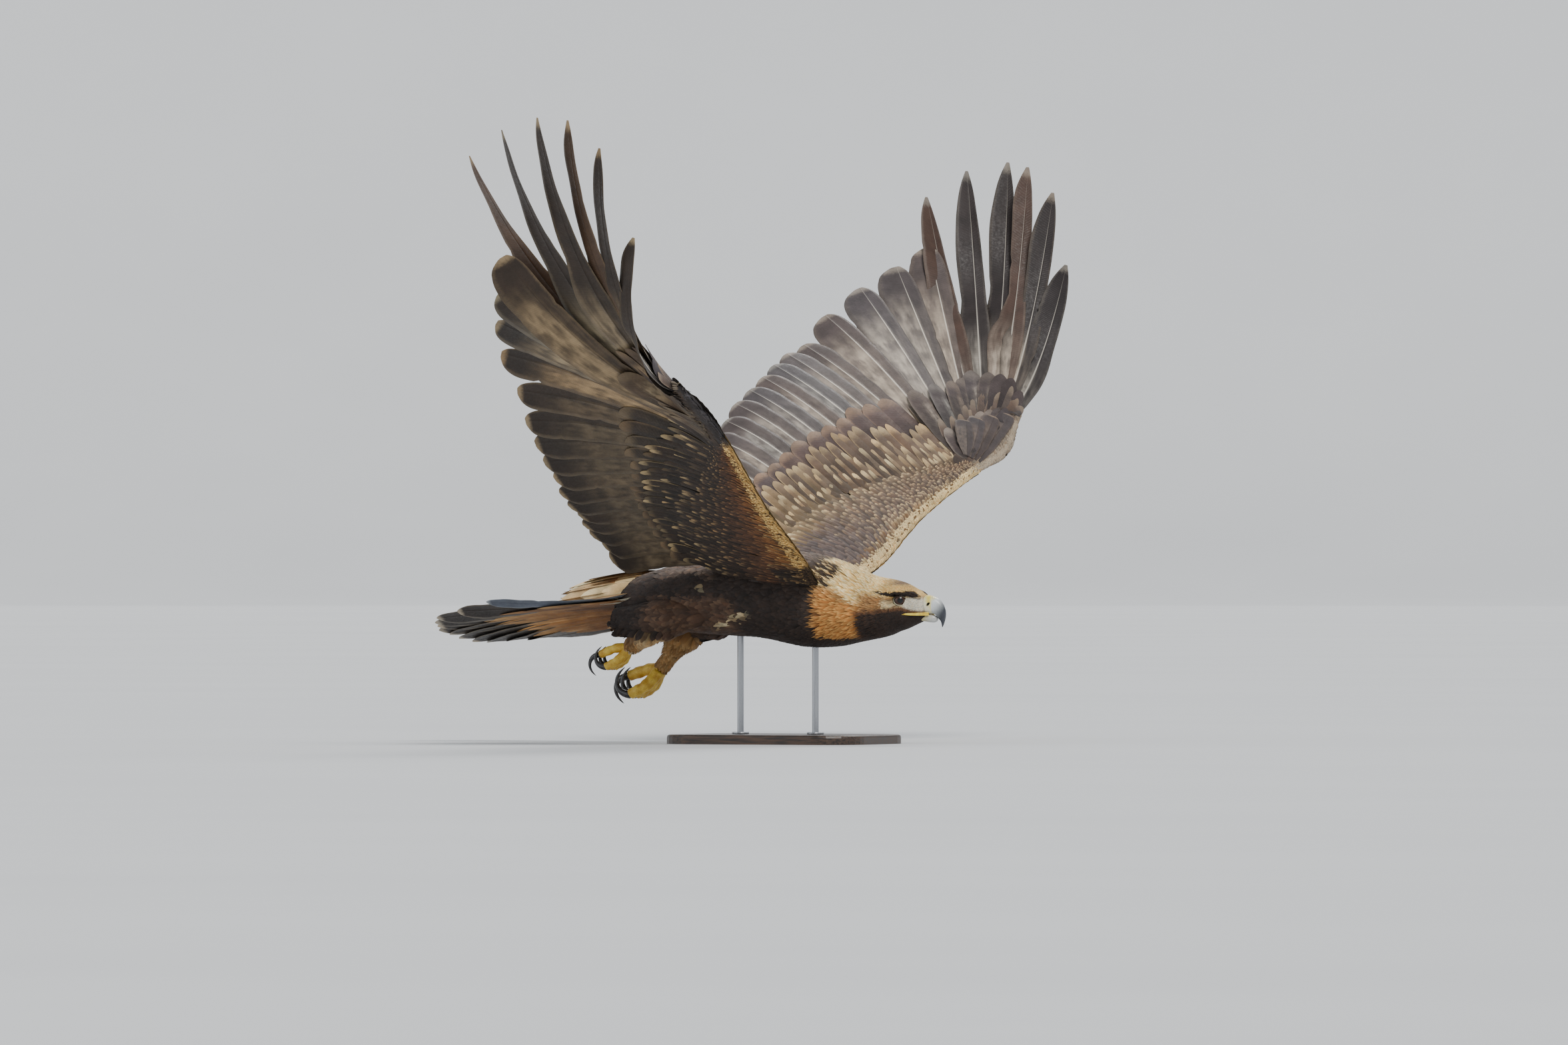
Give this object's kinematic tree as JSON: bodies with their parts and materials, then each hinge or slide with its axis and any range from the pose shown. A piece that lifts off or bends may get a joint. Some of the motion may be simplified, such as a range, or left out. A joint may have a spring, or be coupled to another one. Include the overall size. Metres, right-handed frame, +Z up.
{
  "type": "golden eagle model",
  "caption": "Life-size still model of a golden eagle in flight, wings raised, fingers spread, feet tucked under, carried on a low flat stand by rods under the body.",
  "frame": {"origin": "centre of the underside of the stand base", "axes": "+X towards the bill, +Y towards the bird's left wing tip, +Z up"},
  "size_m": [0.8355, 1.6728, 0.9224],
  "materials": {
    "flight_feather": "matt vanes, dark brown with paler mottled bases",
    "plumage": "matt, dark brown body feathers",
    "hackle": "matt, golden lance-shaped feathers",
    "eye": "wet gloss",
    "horn": "satin, blue-grey to black",
    "cere": "satin, waxy",
    "claw": "satin black horn",
    "toe_skin": "scaled skin",
    "stand_wood": "dark satin",
    "stand_steel": "brushed"
  },
  "bodies": {
    "root": {"bill_lower": "horn", "bill_upper": "horn", "cere": "cere", "claw_left_1": "claw", "claw_left_2": "claw", "claw_left_3": "claw", "claw_left_4": "claw", "claw_right_1": "claw", "claw_right_2": "claw", "claw_right_3": "claw", "claw_right_4": "claw", "eye_left": "eye", "eye_right": "eye", "foot_left": "toe_skin", "foot_right": "toe_skin", "head": "hackle", "neck": "hackle", "shank_left": "hackle", "shank_right": "hackle", "stand_base": "stand_wood", "stand_rod_front": "stand_steel", "stand_rod_rear": "stand_steel", "tail": "flight_feather", "thigh_left": "plumage", "thigh_right": "plumage", "torso": "plumage", "wing_left_inner": "flight_feather", "wing_left_outer": "flight_feather", "wing_right_inner": "flight_feather", "wing_right_outer": "flight_feather"}
  },
  "joints": []
}
